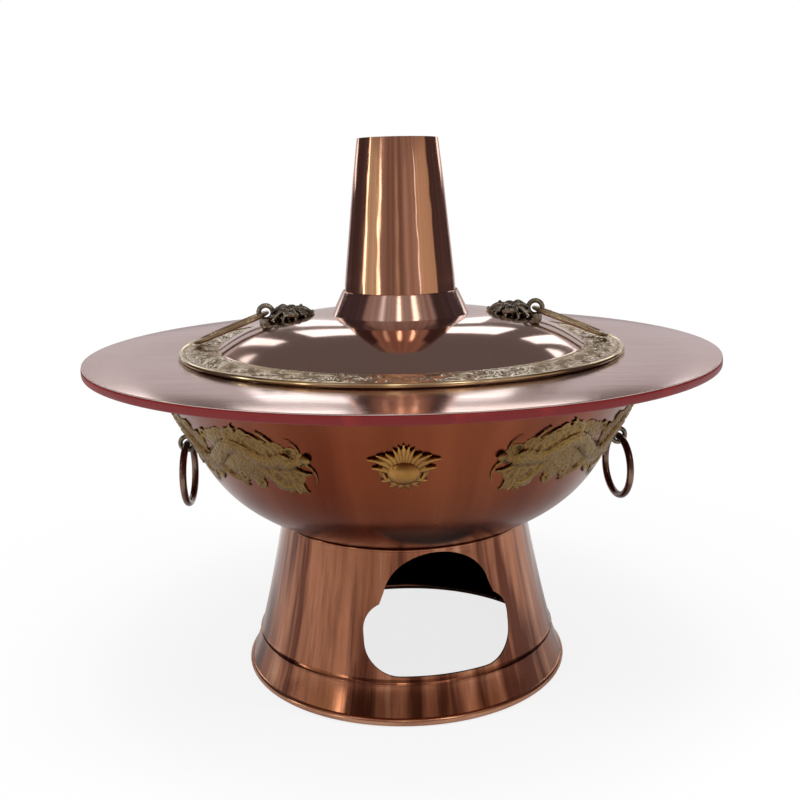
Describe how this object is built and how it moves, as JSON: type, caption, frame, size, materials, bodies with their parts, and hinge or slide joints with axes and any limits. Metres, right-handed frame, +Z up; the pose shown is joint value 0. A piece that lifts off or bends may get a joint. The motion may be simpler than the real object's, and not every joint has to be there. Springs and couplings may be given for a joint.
{
  "type": "chimney hot pot",
  "caption": "Charcoal hot pot: a copper ring bowl around a chimney on a hollow draught base, with a wide serving brim, a lift-off ring lid and hanging rings.",
  "frame": {"origin": "middle of the foot, on the floor", "axes": "+Z up through the chimney; the draught opening faces -Y and the carrying rings hang at +X and -X"},
  "size_m": [0.5599, 0.56, 0.48],
  "materials": {
    "copper": "polished copper sheet, warm red-brown",
    "lid_copper": "mirror-polished copper with a pale mauve sheen",
    "chimney_copper": "polished copper with drawn vertical streaks",
    "brim_copper": "brushed pale copper sheet",
    "tinned": "tinned and darkened by fire",
    "lacquer": "crimson lacquer on the board's edge",
    "brass_relief": "cast brass, worn bright on its high points",
    "band_brass": "embossed silvery brass",
    "roll_brass": "polished brass",
    "old_brass": "dark patinated brass",
    "ring_metal": "dark browned brass rod",
    "iron": "rough cast iron, sooty",
    "rivet": "copper rivets and brass screws"
  },
  "bodies": {
    "root": {"foot_ring": "copper", "base_skirt": "copper", "neck_spigot": "tinned", "bowl": "copper", "rim_ring": "copper", "fire_tube": "tinned", "grate_ledge": "iron", "grate": "iron", "chimney_stop": "roll_brass", "brim_board": "lacquer", "brim_skin": "brim_copper", "board_screws": "rivet", "side_lug_left": "old_brass", "side_lug_right": "old_brass", "lug_rivets": "rivet", "pearl_front": "brass_relief", "pearl_back": "brass_relief", "dragon_front_left": "brass_relief", "dragon_front_right": "brass_relief", "dragon_back_left": "brass_relief", "dragon_back_right": "brass_relief"},
    "lid": {"lid_dome": "lid_copper", "lid_collar": "lid_copper", "lid_band": "band_brass", "lid_roll": "roll_brass", "lid_locating_ring": "lid_copper", "lid_eye_left": "old_brass", "lid_eye_right": "old_brass", "lid_mount_left": "old_brass", "lid_mount_right": "old_brass", "lid_rivets": "rivet"},
    "lid_loop_left": {"lid_loop_left": "ring_metal"},
    "lid_loop_right": {"lid_loop_right": "ring_metal"},
    "side_ring_left": {"side_ring_left": "ring_metal"},
    "side_ring_right": {"side_ring_right": "ring_metal"},
    "chimney": {"chimney": "chimney_copper"}
  },
  "joints": [
    {"name": "lid_lift", "type": "slide", "parent": "root", "child": "lid", "axis": [0, 0, 1], "range_m": [0, 0.2]},
    {"name": "chimney_lift", "type": "slide", "parent": "root", "child": "chimney", "axis": [0, 0, 1], "range_m": [0, 0.06]},
    {"name": "lid_loop_left_swing", "type": "hinge", "parent": "lid", "child": "lid_loop_left", "pos_m": [-0.122, 0, 0.3285], "axis": [0, 1, 0], "range_deg": [0, 108]},
    {"name": "lid_loop_right_swing", "type": "hinge", "parent": "lid", "child": "lid_loop_right", "pos_m": [0.122, 0, 0.3285], "axis": [0, -1, 0], "range_deg": [0, 108]},
    {"name": "side_ring_left_swing", "type": "hinge", "parent": "root", "child": "side_ring_left", "pos_m": [-0.2005, 0, 0.208], "axis": [0, 1, 0], "range_deg": [-25, 130]},
    {"name": "side_ring_right_swing", "type": "hinge", "parent": "root", "child": "side_ring_right", "pos_m": [0.2005, 0, 0.208], "axis": [0.2079, -0.9781, 0], "range_deg": [-25, 130]}
  ]
}
